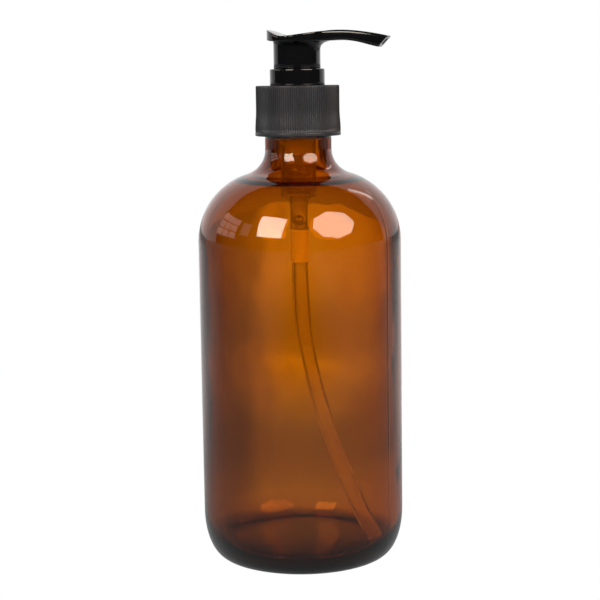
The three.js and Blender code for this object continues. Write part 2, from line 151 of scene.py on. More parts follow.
# Closure
CLOSURE_R = 15.3
CLOSURE_BORE_R = 14.15
CLOSURE_FLANGE_H = 1.5
CLOSURE_PLATE = 1.6
CLOSURE_EDGE = 0.4
FLANGE_EDGE = 0.35
HOLE_EDGE = 0.3
CLOSURE_HOLE_R = 7.4
RIB_COUNT = 120
RIB_DEPTH = 0.28
CLOSURE_FLARE = 0.36
FLARE_BOTTOM = 159.4
FLARE_TOP = 166.5

# Lock collar and gasket
GASKET_BORE_R = 7.1
FOAM_ROUGHNESS = 0.04
COLLAR_BORE_R = 9.1
COLLAR_BOTTOM = CLOSURE_TOP + 0.03
COLLAR_TO_FLOOR = 4.9
COLLAR_RIM = 0.5
COLLAR_EDGE = 0.25
HUB_R = 5.3
HUB_BORE_R = 3.2
SEAL_POCKET_R = 4.4
SEAL_POCKET_TOP = 173.9

# Housing
FLANGE_BOTTOM = 172.5
FLANGE_TOP = 173.5
HOUSING_NECK_R = 6.9
BARREL_R = 6.5
BARREL_BORE_R = 5.6
LEDGE_Z = 136.0
CHAMBER_R = 3.4
CHAMBER_BORE_R = 2.7
CHAMBER_TOP = 133.5
SEAT_TOP = 125.5
SEAT_R = 1.4
SOCKET_R = 3.7
SOCKET_BORE_R = 3.2
SOCKET_TOP = 122.8
VENT_R = 0.7
VENT_Z = 167.0

# Spring, piston seat, piston and stem
SPRING_R = 4.3
SPRING_WIRE_R = 0.5
SPRING_TURNS = 7
SPRING_CLOSED_PITCH = 1.06
SPRING_STEPS = 56
SPRING_SIDES = 14
SEAT_DISC_H = 1.1
SEAT_FIN_R = 1.4
SEAT_FIN_HALF = 0.4
SEAT_NOTCH_R = 0.7
PISTON_SKIRT = 0.8
PISTON_WEB_BOTTOM = 150.4
PISTON_WEB_TOP = 151.5
PISTON_SLEEVE_R = 2.6
PISTON_BORE_R = 1.75
PISTON_SLEEVE_TOP = 153.2
STEM_R = 2.7
STEM_BORE_R = 1.75

# Head
SKIRT_R = 8.575
SKIRT_LOW_R = 8.1
SKIRT_BORE_R = 7.1
SKIRT_STEP = 181.5
SKIRT_CEILING = 189.6
BOSS_R = 4.5
BOSS_BOTTOM = 180.5
STEM_SOCKET_R = 3.0
SOCKET_DEPTH_TOP = 187.9
LOCK_RIB_HEIGHT = 0.6
LOCK_RIB_Z = 178.6
LOCK_RIB_PITCH = 2.6
LOCK_RIB_TURNS = 0.85
COLLAR_RIB_HEIGHT = 0.28
PLATE_R = 10.9
PLATE_HALF = 10.9
PLATE_EDGE = 0.45
SPOUT_EDGE = 1.0
SPOUT_ROOT_HALF = 4.7
SPOUT_TIP_HALF = 3.5
SPOUT_BACK_HALF = 1.6
SPOUT_END = 32.6
SPOUT_SLANT = 1.8
CHANNEL_R = 1.35
CHANNEL_STEP = 0.92
HEAD_ROUNDING = 0.12
WEB_START = 188.4
WEB_REACH = 3.9
WEB_ROUND = 0.12
WEB_NARROWNESS = 8

# Dip tube
TUBE_R = 2.9
TUBE_BORE_R = 2.2
TUBE_BEND_Z = 104.0
TUBE_TIP_Z = 7.2
TUBE_TIP_REACH = 29.3
TUBE_TURN = math.radians(-9)
TUBE_BEND_POWER = 1.85

# Camera and light, in metres; azimuths turn about Z from the front, positive to the right
CAMERA_AZIMUTH = math.radians(15)
CAMERA_AIM = math.radians(0.02)
CAMERA_PITCH = math.radians(8.27)
CAMERA_ROLL = math.radians(0.84)
CAMERA_DISTANCE = 0.5723
CAMERA_HEIGHT = 0.1793
LENS = 93.07
SENSOR = 36.0
LIGHT_CENTRE = Vector((0, 0, 0.12))
LIGHT_DISTANCE = 0.9
BACK = Vector((-math.sin(CAMERA_AZIMUTH), math.cos(CAMERA_AZIMUTH), 0))
RIGHT = Vector((math.cos(CAMERA_AZIMUTH), math.sin(CAMERA_AZIMUTH), 0))
ROOM_DARK = 0.015
THROUGH_FRONT = 0.6
STUDIO_AMBIENT = 2.0
POOL_BACK = 0.39


# ---- mesh helpers

def arc(centre_r, centre_z, radius_r, radius_z, start, end, steps):
    """Points of an elliptical arc in the (radius, height) plane; angles in degrees."""
    points = []
    for i in range(steps + 1):
        angle = math.radians(start + (end - start) * i / steps)
        points.append((centre_r + radius_r * math.cos(angle), centre_z + radius_z * math.sin(angle)))
    return points


def straight(a, b, steps):
    """Points between a and b, both left out."""
    return [(a[0] + (b[0] - a[0]) * i / steps, a[1] + (b[1] - a[1]) * i / steps) for i in range(1, steps)]


def at(r, angle, z):
    """A point in metres from radius, angle and height."""
    return r * math.cos(angle) * MM, r * math.sin(angle) * MM, z * MM


def even(count):
    """Evenly spaced angles once round."""
    return [TAU * i / count for i in range(count)]


def area(profile):
    """Signed area of a closed profile, positive when it runs anticlockwise."""
    total = 0.0
    for (r0, z0), (r1, z1) in zip(profile, profile[1:] + profile[:1]):
        total += r0 * z1 - r1 * z0
    return total / 2


def new_object(name, data):
    obj = bpy.data.objects.new(name, data)
    bpy.context.scene.collection.objects.link(obj)
    return obj


def shade(obj, angle=35):
    """Smooth shading with edges sharper than the angle kept crisp."""
    for polygon in obj.data.polygons:
        polygon.use_smooth = True
    bm = bmesh.new()
    bm.from_mesh(obj.data)
    limit = math.radians(angle)
    for edge in bm.edges:
        edge.smooth = len(edge.link_faces) == 2 and edge.calc_face_angle(0.0) < limit
    bm.to_mesh(obj.data)
    bm.free()
    return obj


def turned(name, profile, angles, shape=None, crisp=35):
    """A solid of revolution about Z; shape(r, z, angle) may move each point to a new (r, z)."""
    segments = len(angles)
    if area(profile) < 0:
        profile = profile[::-1]
    vertices = []
    rings = []
    for r, z in profile:
        if r < 1e-6:
            rings.append([len(vertices)] * segments)
            moved = shape(0.0, z, 0.0) if shape else (0.0, z)
            vertices.append((0.0, 0.0, moved[1] * MM))
            continue
        rings.append(list(range(len(vertices), len(vertices) + segments)))
        for angle in angles:
            rr, zz = shape(r, z, angle) if shape else (r, z)
            vertices.append(at(rr, angle, zz))
    faces = []
    for a, b in zip(rings, rings[1:] + rings[:1]):
        for s in range(segments):
            t = (s + 1) % segments
            corners = [a[s], a[t], b[t], b[s]]
            loop = [v for i, v in enumerate(corners) if v != corners[i - 1]]
            if len(set(loop)) >= 3:
                faces.append(loop)
    mesh = bpy.data.meshes.new(name)
    mesh.from_pydata(vertices, [], faces)
    mesh.validate()
    return shade(new_object(name, mesh), crisp)


def stand_for(obj, node, material):
    """The piece replaces a CAD node, rides on its body and takes the finish it is given."""
    obj.data.materials.clear()
    obj.data.materials.append(material)
    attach(obj, frame["nodes"][node]["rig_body"])
    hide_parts(node)
    return obj


# ---- material helpers

class Nodes:
    """A short way to build a node tree: most calls add a node and link or set its inputs."""

    def __init__(self, material):
        self.tree = material.node_tree
        self.tree.nodes.clear()

    def add(self, kind, **settings):
        node = self.tree.nodes.new(kind)
        for name, value in settings.items():
            setattr(node, name, value)
        return node

    def put(self, value, socket):
        """Links another node's output to the socket, or sets the socket to a plain value."""
        if isinstance(value, bpy.types.NodeSocket):
            self.tree.links.new(value, socket)
        else:
            socket.default_value = value

    def feed(self, node, **inputs):
        """Sets or links inputs by name; an underscore stands for a space."""
        for name, value in inputs.items():
            self.put(value, node.inputs[name.replace("_", " ")])
        return node

    def place(self):
        return self.add("ShaderNodeTexCoord").outputs["Object"]

    def noise(self, scale, detail=2.0, roughness=0.5, vector=None):
        node = self.add("ShaderNodeTexNoise")
        self.feed(node, Scale=scale, Detail=detail, Roughness=roughness, Vector=vector or self.place())
        return node.outputs["Fac"]

    def stretch(self, x, y, z):
        node = self.add("ShaderNodeMapping")
        self.feed(node, Vector=self.place(), Scale=(x, y, z))
        return node.outputs["Vector"]

    def remap(self, value, low_in, high_in, low_out, high_out):
        node = self.add("ShaderNodeMapRange")
        self.feed(node, Value=value, From_Min=low_in, From_Max=high_in, To_Min=low_out, To_Max=high_out)
        return node.outputs["Result"]

    def mix(self, factor, a, b):
        """A colour between a and b."""
        node = self.add("ShaderNodeMix", data_type="RGBA")
        for index, value in ((0, factor), (6, a), (7, b)):
            self.put(value, node.inputs[index])
        return node.outputs[2]

    def blend(self, factor, a, b):
        """A number between a and b."""
        node = self.add("ShaderNodeMix", data_type="FLOAT")
        for index, value in ((0, factor), (2, a), (3, b)):
            self.put(value, node.inputs[index])
        return node.outputs[0]

    def math(self, operation, a, b=0.0):
        node = self.add("ShaderNodeMath", operation=operation)
        self.put(a, node.inputs[0])
        self.put(b, node.inputs[1])
        return node.outputs[0]

    def vector(self, operation, a, b=(0.0, 0.0, 0.0)):
        """A vector operation; its result is read from the node's Vector or Value output."""
        node = self.add("ShaderNodeVectorMath", operation=operation)
        self.put(a, node.inputs[0])
        self.put(b, node.inputs[1])
        return node

    def bump(self, height, distance, strength):
        node = self.add("ShaderNodeBump")
        self.feed(node, Height=height, Distance=distance, Strength=strength)
        return node.outputs["Normal"]


def new_material(name):
    material = bpy.data.materials.new(name)
    material.use_nodes = True
    return material, Nodes(material)


def finish(nodes, shader, volume=None):
    output = nodes.add("ShaderNodeOutputMaterial")
    nodes.tree.links.new(shader.outputs[0], output.inputs["Surface"])
    if volume:
        nodes.tree.links.new(volume.outputs[0], output.inputs["Volume"])


# ---- materials

def amber_glass():
    """Soda-lime glass, coloured through its thickness, with the faint ripple of a moulded wall."""
    material, n = new_material("amber_glass")
    ripple = n.noise(28.0, 2.0, 0.45)
    haze = n.remap(n.noise(60.0, 3.0), 0.3, 0.75, 0.0, 0.035)
    shader = n.feed(
        n.add("ShaderNodeBsdfPrincipled"),
        Base_Color=(1.0, 0.97, 0.93, 1.0),
        Roughness=haze,
        IOR=1.52,
        Transmission_Weight=1.0,
        Normal=n.bump(ripple, 0.0006, 0.25),
    )
    volume = n.feed(n.add("ShaderNodeVolumeAbsorption"), Color=(0.8545, 0.655, 0.0, 1.0), Density=1100.0)
    finish(n, shader, volume)
    return material


def gloss_black():
    """Polished black moulding with a trace of orange peel and a few dust specks."""
    material, n = new_material("gloss_black")
    peel = n.noise(700.0, 1.0, 0.5)
    handled = n.remap(n.noise(130.0, 4.0, 0.6), 0.35, 0.75, 0.05, 0.13)
    speck = n.remap(n.noise(2600.0, 1.0), 0.80, 0.84, 0.0, 1.0)
    shader = n.feed(
        n.add("ShaderNodeBsdfPrincipled"),
        Base_Color=n.mix(speck, (0.0028, 0.0033, 0.0045, 1.0), (0.03, 0.03, 0.032, 1.0)),
        Roughness=handled,
        IOR=1.5,
        Normal=n.bump(peel, 0.00001, 0.2),
    )
    finish(n, shader)
    return material


def satin_black():
    """The closure's matt black, paler on the crests of its ribs: partly rubbed wear, partly a painted
    highlight.
    """
    material, n = new_material("satin_black")
    grain = n.noise(2200.0, 3.0, 0.6)
    flat = n.vector("MULTIPLY", n.place(), (1.0, 1.0, 0.0))
    radius = n.vector("LENGTH", flat.outputs["Vector"])
    crest_start = (CLOSURE_R - RIB_DEPTH) * MM
    crest = n.remap(radius.outputs["Value"], crest_start, CLOSURE_R * MM, 0.0, 1.0)
    # Paler crests: partly rubbed wear, partly a painted highlight on the ribs.
    crest_sheen_and_wear = n.math("MULTIPLY", crest, n.noise(260.0, 4.0, 0.6))
    shader = n.feed(
        n.add("ShaderNodeBsdfPrincipled"),
        Base_Color=n.mix(crest_sheen_and_wear, (0.012, 0.014, 0.018, 1.0), (0.03, 0.033, 0.04, 1.0)),
        Roughness=n.remap(grain, 0.3, 0.7, 0.3, 0.42),
        IOR=1.4,
        Specular_Tint=(0.78, 0.87, 1.0, 1.0),
        Normal=n.bump(grain, 0.00003, 0.4),
    )
    finish(n, shader)
    return material


def natural_plastic(name, colour, roughness, clearness, milkiness=0.0, bending=1.5, socket_clearness=None):
    """Unpigmented polyolefin: milky, a little clear, drawn along the pump, its socket less clear if asked."""
    material, n = new_material(name)
    drawn = n.noise(500.0, 1.0, 0.4, n.stretch(1.0, 1.0, 0.3))
    cloud = n.noise(70.0, 2.0, 0.4)
    darker = tuple(c * 0.95 for c in colour)
    if socket_clearness is not None:
        split = n.add("ShaderNodeSeparateXYZ")
        n.feed(split, Vector=n.place())
        step = (SOCKET_TOP - 0.2) * MM
        clearness = n.remap(split.outputs["Z"], step, SOCKET_TOP * MM, socket_clearness, clearness)
    shader = n.feed(
        n.add("ShaderNodeBsdfPrincipled"),
        Base_Color=n.mix(cloud, (*darker, 1.0), (*colour, 1.0)),
        Roughness=n.remap(drawn, 0.3, 0.7, roughness - 0.03, roughness + 0.03),
        IOR=bending,
        Transmission_Weight=clearness,
        Subsurface_Weight=milkiness,
        Subsurface_Radius=(1.0, 0.95, 0.85),
        Subsurface_Scale=0.003,
        Normal=n.bump(drawn, 0.00001, 0.08),
    )
    finish(n, shader)
    return material


def steel(name, colour, roughness, stretch):
    """Bright steel with fine marks, drawn out along the wire where it is stretched."""
    material, n = new_material(name)
    drawn = n.noise(3000.0, 2.0, 0.5, n.stretch(*stretch))
    shader = n.feed(
        n.add("ShaderNodeBsdfPrincipled"),
        Base_Color=n.mix(n.noise(400.0), (*colour, 1.0), tuple(c * 0.85 for c in colour) + (1.0,)),
        Metallic=1.0,
        Roughness=n.remap(drawn, 0.3, 0.7, roughness - 0.06, roughness + 0.1),
        Normal=n.bump(drawn, 0.00001, 0.4),
    )
    finish(n, shader)
    return material


def soft_white(name, colour, cell_scale, depth):
    """The foam gasket and the rubber wiper."""
    material, n = new_material(name)
    cells = n.add("ShaderNodeTexVoronoi")
    n.feed(cells, Scale=cell_scale, Vector=n.place())
    shader = n.feed(
        n.add("ShaderNodeBsdfPrincipled"),
        Base_Color=n.mix(cells.outputs["Distance"], (*colour, 1.0), tuple(c * 0.8 for c in colour) + (1.0,)),
        Roughness=n.remap(n.noise(cell_scale), 0.3, 0.7, 0.6, 0.85),
        Normal=n.bump(cells.outputs["Distance"], depth, 0.6),
    )
    finish(n, shader)
    return material


# ---- bottle

def smoothstep(x, start, end):
    """0 before start, 1 after end and a smooth rise between them."""
    t = min(1.0, max(0.0, (x - start) / (end - start)))
    return t * t * (3 - 2 * t)


def thread_rise(angle, z, start_z, pitch, turns, height, crest, root):
    """How far a screw thread stands off its wall; crest and root are the half-widths of its top and foot."""
    best = 0.0
    lead = (angle - THREAD_START) % TAU
    for turn in range(int(turns) + 1):
        along = lead + TAU * turn
        end = min(along, TAU * turns - along)
        if end > 0:
            off = abs(z - start_z - pitch * along / TAU)
            best = max(best, height * (1 - smoothstep(off, crest, root)) * smoothstep(end, 0.0, 0.6))
    return best


def wave(r, z, angle, scale, seed):
    """Slow unevenness, from -1 to 1, the same at 0 and 360 degrees."""
    place = Vector((r * math.cos(angle), r * math.sin(angle), z)) / scale
    return noise.noise(place + Vector((seed, 0.0, 0.0)))


def angles_with_seams(count):
    """Angles round the bottle, with more of them across the two mould seams."""
    angles = {TAU * i / count for i in range(count)}
    for side in (0.0, math.pi):
        for i in range(-6, 7):
            angles.add((SEAM_ANGLE + side + SEAM_HALF_ANGLE * i / 4) % TAU)
    return sorted(angles)


def seam_rise(angle):
    """How far the two opposite mould seams stand off the glass."""
    off = abs((angle - SEAM_ANGLE + math.pi / 2) % math.pi - math.pi / 2)
    return SEAM_HEIGHT * max(0.0, 1 - off / SEAM_HALF_ANGLE)


def shoulder_and_fillet(centre_r, arc_r, neck_r, fillet_r, steps):
    """The shoulder's arc and the hollow arc that carries it up into the neck, tangent to each other."""
    across = neck_r + fillet_r - centre_r
    up = math.sqrt((arc_r + fillet_r) ** 2 - across ** 2)
    tangent = math.degrees(math.atan2(up, across))
    rise = arc(centre_r, SHOULDER_Z, arc_r, arc_r, 0, tangent, steps)
    turn = arc(neck_r + fillet_r, SHOULDER_Z + up, fillet_r, fillet_r, 180 + tangent, 180, steps // 2)
    return rise + turn[1:]


def bottle(material):
    """Foot ring, push-up, body, shoulder and screw finish, with the cavity inside."""
    foot_r = BODY_R - HEEL_INSET
    inner_r = BODY_R - WALL
    inner_floor_r = inner_r - INNER_HEEL_INSET
    ring_r = foot_r - FOOT_WIDTH
    centre_r = BODY_R - SHOULDER_R
    outside = [(0.0, PUSH_UP)]
    outside += arc(0, 0, ring_r, PUSH_UP, 84, 12, 10)
    outside += [(ring_r + 0.35, 0.18), (ring_r + 0.9, 0.02), (foot_r - 0.9, 0.0)]
    outside += arc(foot_r, HEEL_RISE, HEEL_INSET, HEEL_RISE, -90, 0, 22)
    outside += straight((BODY_R, HEEL_RISE), (BODY_R, SHOULDER_Z), 26)
    outside += shoulder_and_fillet(centre_r, SHOULDER_R, NECK_R, NECK_FILLET, 30)
    outside += straight(outside[-1], (NECK_R, FINISH_Z - FINISH_CHAMFER), 4)
    outside += [(NECK_R, FINISH_Z - FINISH_CHAMFER), (FINISH_R, FINISH_Z)]
    outside += straight((FINISH_R, FINISH_Z), (FINISH_R, LIP_Z - LIP_ROUND), 44)
    outside += arc(FINISH_R - LIP_ROUND, LIP_Z - LIP_ROUND, LIP_ROUND, LIP_ROUND, 0, 90, 5)
    inside = [(0.0, FLOOR_Z + FLOOR_CROWN)]
    inside += arc(0, FLOOR_Z, inner_floor_r, FLOOR_CROWN, 84, 0, 12)
    inside += arc(inner_floor_r, HEEL_RISE, INNER_HEEL_INSET, HEEL_RISE - FLOOR_Z, -90, 0, 18)[1:]
    inside += straight((inner_r, HEEL_RISE), (inner_r, SHOULDER_Z), 26)
    inside += shoulder_and_fillet(centre_r, SHOULDER_R - WALL, BORE_R, BORE_FILLET, 28)
    inside += straight(inside[-1], (BORE_R, LIP_Z - LIP_ROUND), 6)
    inside += arc(BORE_R + LIP_ROUND, LIP_Z - LIP_ROUND, LIP_ROUND, LIP_ROUND, 180, 90, 4)
    within = {(round(r, 5), round(z, 5)) for r, z in inside}

    def shape(r, z, angle):
        if (round(r, 5), round(z, 5)) in within:
            blown = smoothstep(z, FLOOR_Z + 1, 24) * (1 - smoothstep(z, 140, 152))
            uneven = INNER_WAVE * wave(r, z, angle, 17.0, 3.0) + INNER_RIPPLE * wave(r, z, angle, 7.0, 9.0)
            thicker = smoothstep(z, THICKENING_START, THICKENING_FULL) if r < NECK_R + NECK_FILLET else 0.0
            thicker *= THICKENING * (1 - smoothstep(z, THICKENING_FADE, THICKENING_END))
            return r + blown * uneven - thicker, z
        if r > NECK_R + 0.3 and z > FINISH_Z:
            height = THREAD_HEIGHT
            rise = thread_rise(angle, z, THREAD_Z, PITCH, THREAD_TURNS, height, THREAD_CREST, THREAD_ROOT)
            return r + rise, z
        moulded = smoothstep(z, 2, 12) * (1 - smoothstep(z, 146, 154))
        if ring_r + 0.3 < r < foot_r + 0.6 and z < 0.5:
            return r, z + FOOT_STIPPLE * (1 + math.cos(angle * FOOT_STIPPLE_COUNT)) / 2
        if z > 1:
            r += moulded * OUTER_WAVE * (wave(r, z, angle, 22.0, 5.0) - 0.5)
            r += seam_rise(angle) * smoothstep(z, 1, 6)
        return min(r, BODY_R + SEAM_HEIGHT), z

    angles = angles_with_seams(240)
    return stand_for(turned("bottle_glass", outside + inside[::-1], angles, shape), "bottle", material)


# ---- closure, gasket and collar

def closure(material):
    """The screw closure: finely ribbed, a little wider at the foot, on a smooth flange."""
    flange_top = CLOSURE_BOTTOM + CLOSURE_FLANGE_H
    plate_bottom = CLOSURE_TOP - CLOSURE_PLATE
    edge = FLANGE_EDGE
    rim = CLOSURE_EDGE
    hole = HOLE_EDGE
    profile = [(CLOSURE_BORE_R + 0.5, CLOSURE_BOTTOM)]
    profile += arc(CLOSURE_FLANGE_R - edge, CLOSURE_BOTTOM + edge, edge, edge, -90, 0, 4)
    profile += arc(CLOSURE_FLANGE_R - edge, flange_top - edge, edge, edge, 0, 90, 4)
    profile += [(CLOSURE_R, flange_top + 0.05), (CLOSURE_R, flange_top + 0.35)]
    profile += straight((CLOSURE_R, flange_top + 0.35), (CLOSURE_R, CLOSURE_TOP - rim), 16)
    profile += arc(CLOSURE_R - rim, CLOSURE_TOP - rim, rim, rim, 0, 90, 4)
    profile += [(CLOSURE_R - 1.0, CLOSURE_TOP), (12.5, CLOSURE_TOP), (10.6, CLOSURE_TOP)]
    profile += arc(CLOSURE_HOLE_R + hole, CLOSURE_TOP - hole, hole, hole, 90, 180, 3)
    profile += [(CLOSURE_HOLE_R, plate_bottom), (11.0, plate_bottom), (CLOSURE_BORE_R - 0.3, plate_bottom)]
    profile += straight((CLOSURE_BORE_R, plate_bottom - 0.3), (CLOSURE_BORE_R, CLOSURE_BOTTOM + 0.6), 44)
    profile += [(CLOSURE_BORE_R, CLOSURE_BOTTOM + 0.6)]

    def shape(r, z, angle):
        if abs(r - CLOSURE_BORE_R) < 1e-6 and z < plate_bottom - 0.3:
            start = THREAD_Z - PITCH / 2
            height = THREAD_HEIGHT - THREAD_CLEARANCE
            rise = thread_rise(angle, z, start, PITCH, THREAD_TURNS, height, THREAD_CREST, THREAD_ROOT)
            return r - rise, z
        if r > CLOSURE_R - 0.45 and z > flange_top + 0.04:
            groove = abs(math.sin(RIB_COUNT / 2 * angle)) ** 1.6
            fade = smoothstep(z, flange_top + 0.04, flange_top + 0.35)
            flare = CLOSURE_FLARE * (1 - smoothstep(z, FLARE_BOTTOM, FLARE_TOP))
            return r - RIB_DEPTH * groove * (0.3 + 0.7 * fade) + flare, z
        return r, z

    return stand_for(turned("closure_shell", profile, even(RIB_COUNT * 8), shape, 50), "closure", material)


def neck_gasket(material):
    """The foam ring between lip and housing, with rounded edges and faces a little uneven."""
    lo, hi = low("neck_gasket"), high("neck_gasket")
    edge = 0.2
    outer = hi.x
    inner = GASKET_BORE_R
    profile = arc(inner + edge, lo.z + edge, edge, edge, 180, 270, 4)
    profile += straight((inner + edge, lo.z), (outer - edge, lo.z), 8)
    profile += arc(outer - edge, lo.z + edge, edge, edge, -90, 0, 4)
    profile += arc(outer - edge, hi.z - edge, edge, edge, 0, 90, 4)
    profile += straight((outer - edge, hi.z), (inner + edge, hi.z), 8)
    profile += arc(inner + edge, hi.z - edge, edge, edge, 90, 180, 4)

    def shape(r, z, angle):
        dent = FOAM_ROUGHNESS * (wave(r, z, angle, 1.1, 2.0) - 1)
        return r, z - dent if z < (lo.z + hi.z) / 2 else z + dent

    return stand_for(turned("gasket_foam", profile, even(160), shape), "neck_gasket", material)


def stem_wiper(material):
    """A ring with two thin lips that lean in on the stem."""
    lo, hi = low("stem_wiper"), high("stem_wiper")
    bore = STEM_R + 0.3
    middle = (lo.z + hi.z) / 2
    profile = [(bore + 0.35, lo.z), (hi.x - 0.15, lo.z), (hi.x, lo.z + 0.15), (hi.x, hi.z - 0.15)]
    profile += [(hi.x - 0.15, hi.z), (bore + 0.35, hi.z), (bore, hi.z - 0.12), (bore + 0.12, hi.z - 0.3)]
    profile += arc(bore + 0.5, middle, 0.22, 0.34, 110, 250, 6)
    profile += [(bore + 0.12, lo.z + 0.3), (bore, lo.z + 0.12)]
    return stand_for(turned("wiper_ring", profile, even(96)), "stem_wiper", material)


def lock_collar(material):
    """The collar with its lock thread, its floor and the hub that guides the stem."""
    floor_top = HUB_BOTTOM + COLLAR_TO_FLOOR
    rim = COLLAR_RIM
    edge = COLLAR_EDGE
    profile = [(HUB_BORE_R, SEAL_POCKET_TOP), (SEAL_POCKET_R, SEAL_POCKET_TOP)]
    profile += [(SEAL_POCKET_R, HUB_BOTTOM + 0.2), (SEAL_POCKET_R + 0.15, HUB_BOTTOM)]
    profile += [(HUB_R - 0.3, HUB_BOTTOM), (HUB_R, HUB_BOTTOM + 0.3)]
    profile += [(HUB_R, COLLAR_BOTTOM - 0.3), (HUB_R + 0.3, COLLAR_BOTTOM)]
    profile += arc(COLLAR_R - edge, COLLAR_BOTTOM + edge, edge, edge, -90, 0, 4)
    profile += straight((COLLAR_R, COLLAR_BOTTOM + edge), (COLLAR_R, COLLAR_TOP - rim), 6)
    profile += arc(COLLAR_R - rim, COLLAR_TOP - rim, rim, rim, 0, 90, 8)
    profile += arc(COLLAR_BORE_R + edge, COLLAR_TOP - edge, edge, edge, 90, 180, 5)
    profile += straight((COLLAR_BORE_R, COLLAR_TOP - edge), (COLLAR_BORE_R, floor_top + 0.4), 24)
    profile += arc(COLLAR_BORE_R - 0.4, floor_top + 0.4, 0.4, 0.4, 0, -90, 4)
    profile += [(HUB_R, floor_top), (HUB_BORE_R + 0.2, floor_top), (HUB_BORE_R, floor_top - 0.2)]

    def shape(r, z, angle):
        if abs(r - COLLAR_BORE_R) < 1e-6 and floor_top + 0.5 < z < COLLAR_TOP - 0.5:
            start = LOCK_RIB_Z + LOCK_RIB_PITCH / 2
            height = COLLAR_RIB_HEIGHT
            return r - thread_rise(angle, z, start, LOCK_RIB_PITCH, LOCK_RIB_TURNS, height, 0.2, 0.55), z
        return r, z

    return stand_for(turned("collar_ring", profile, even(192), shape), "lock_collar", material)


# ---- pump head

def curve_through(points):
    """A smooth curve height(x) through points, as a natural cubic spline."""
    xs = [p[0] for p in points]
    ys = [p[1] for p in points]
    n = len(xs)
    second = [0.0] * n
    work = [0.0] * n
    for i in range(1, n - 1):
        share = (xs[i] - xs[i - 1]) / (xs[i + 1] - xs[i - 1])
        p = share * second[i - 1] + 2
        second[i] = (share - 1) / p
        slope = (ys[i + 1] - ys[i]) / (xs[i + 1] - xs[i]) - (ys[i] - ys[i - 1]) / (xs[i] - xs[i - 1])
        work[i] = (6 * slope / (xs[i + 1] - xs[i - 1]) - share * work[i - 1]) / p
    for i in range(n - 2, -1, -1):
        second[i] = second[i] * second[i + 1] + work[i]

    def height(x):
        x = min(max(x, xs[0]), xs[-1])
        i = max(k for k in range(n - 1) if xs[k] <= x or k == 0)
        gap = xs[i + 1] - xs[i]
        a = (xs[i + 1] - x) / gap
        b = 1 - a
        bend = (a ** 3 - a) * second[i] + (b ** 3 - b) * second[i + 1]
        return a * ys[i] + b * ys[i + 1] + bend * gap * gap / 6

    return height


head_top = curve_through([(-10.9, 195.65), (-8.6, 194.85), (-4.9, 193.4), (0, 193.3), (5.6, 194.0),
                          (12, 194.9), (18, 195.05), (25, 194.35), (32.6, 192.6)])
head_bottom = curve_through([(-10.9, 191.9), (-8.6, 191.45), (0, 191.2), (9, 191.1), (14, 191.3),
                             (18.8, 191.3), (25, 190.3), (32.6, 188.7)])


def head_half_width(x):
    """Half the head's width: the round plate and the spout, run together smoothly."""
    plate = math.sqrt(max(0.0, 1 - (x / PLATE_R) ** 2)) * PLATE_HALF
    along = min(1.0, max(0.0, x / SPOUT_END))
    spout = SPOUT_ROOT_HALF + (SPOUT_TIP_HALF - SPOUT_ROOT_HALF) * along if x > 0 else SPOUT_BACK_HALF
    return (plate ** 3 + spout ** 3) ** (1 / 3)


def skin(name, rings, closed_ends=True):
    """Joins rings of the same number of points into one surface."""
    count = len(rings[0])
    vertices = [p for ring in rings for p in ring]
    faces = []
    for i in range(len(rings) - 1):
        for s in range(count):
            t = (s + 1) % count
            faces.append((i * count + s, i * count + t, (i + 1) * count + t, (i + 1) * count + s))
    if closed_ends:
        faces.append(tuple(range(count))[::-1])
        faces.append(tuple(range((len(rings) - 1) * count, len(rings) * count)))
    mesh = bpy.data.meshes.new(name)
    mesh.from_pydata(vertices, [], faces)
    mesh.validate()
    bm = bmesh.new()
    bm.from_mesh(mesh)
    bmesh.ops.recalc_face_normals(bm, faces=bm.faces)
    bm.to_mesh(mesh)
    bm.free()
    return shade(new_object(name, mesh))


def apply_modifiers(obj):
    bpy.context.view_layer.update()
    result = bpy.data.meshes.new_from_object(obj.evaluated_get(bpy.context.evaluated_depsgraph_get()))
    obj.modifiers.clear()
    obj.data = result


def combine(obj, other, operation):
    """Joins or cuts by an exact boolean and leaves one mesh."""
    modifier = obj.modifiers.new("combine", "BOOLEAN")
    modifier.operation = operation
    modifier.solver = "EXACT"
    modifier.object = other
    apply_modifiers(obj)
    bpy.data.objects.remove(other)
    return shade(obj)


def saddle_and_spout():
    """The finger plate, dished along its length, running out into the drooping spout."""
    rings = []
    steps = 110
    corner_steps = 9
    back = HEAD_BACK + 0.02
    middle = back + (12 - back) * 0.5
    crowded = 0.3  # this share of the rings starts closely spaced, where the plate's back is round
    for i in range(steps + 1):
        t = i / steps
        if t < crowded:
            x = back + (middle - back) * (1 - math.cos(TAU / 4 * t / crowded))
        else:
            x = middle + (SPOUT_END - middle) * (t - crowded) / (1 - crowded)
        top = head_top(x)
        bottom = head_bottom(x)
        half = head_half_width(x)
        slant = SPOUT_SLANT * smoothstep(x, 22, SPOUT_END)
        ring = []
        tall = (top - bottom) / 2
        edge = PLATE_EDGE + (SPOUT_EDGE - PLATE_EDGE) * smoothstep(x, 6, 16)
        for k in range(4 * corner_steps):
            quarter, step = divmod(k, corner_steps)
            angle = TAU / 4 * (quarter + step / (corner_steps - 1))
            side_sign = 1 if quarter in (0, 3) else -1
            up_sign = 1 if quarter in (0, 1) else -1
            across = side_sign * (half - edge) + edge * math.cos(angle)
            up = up_sign * (tall - edge) + edge * math.sin(angle)
            ring.append(((x + slant * up / tall) * MM, across * MM, ((top + bottom) / 2 + up) * MM))
        rings.append(ring)
    return skin("pump_head_moulding", rings)


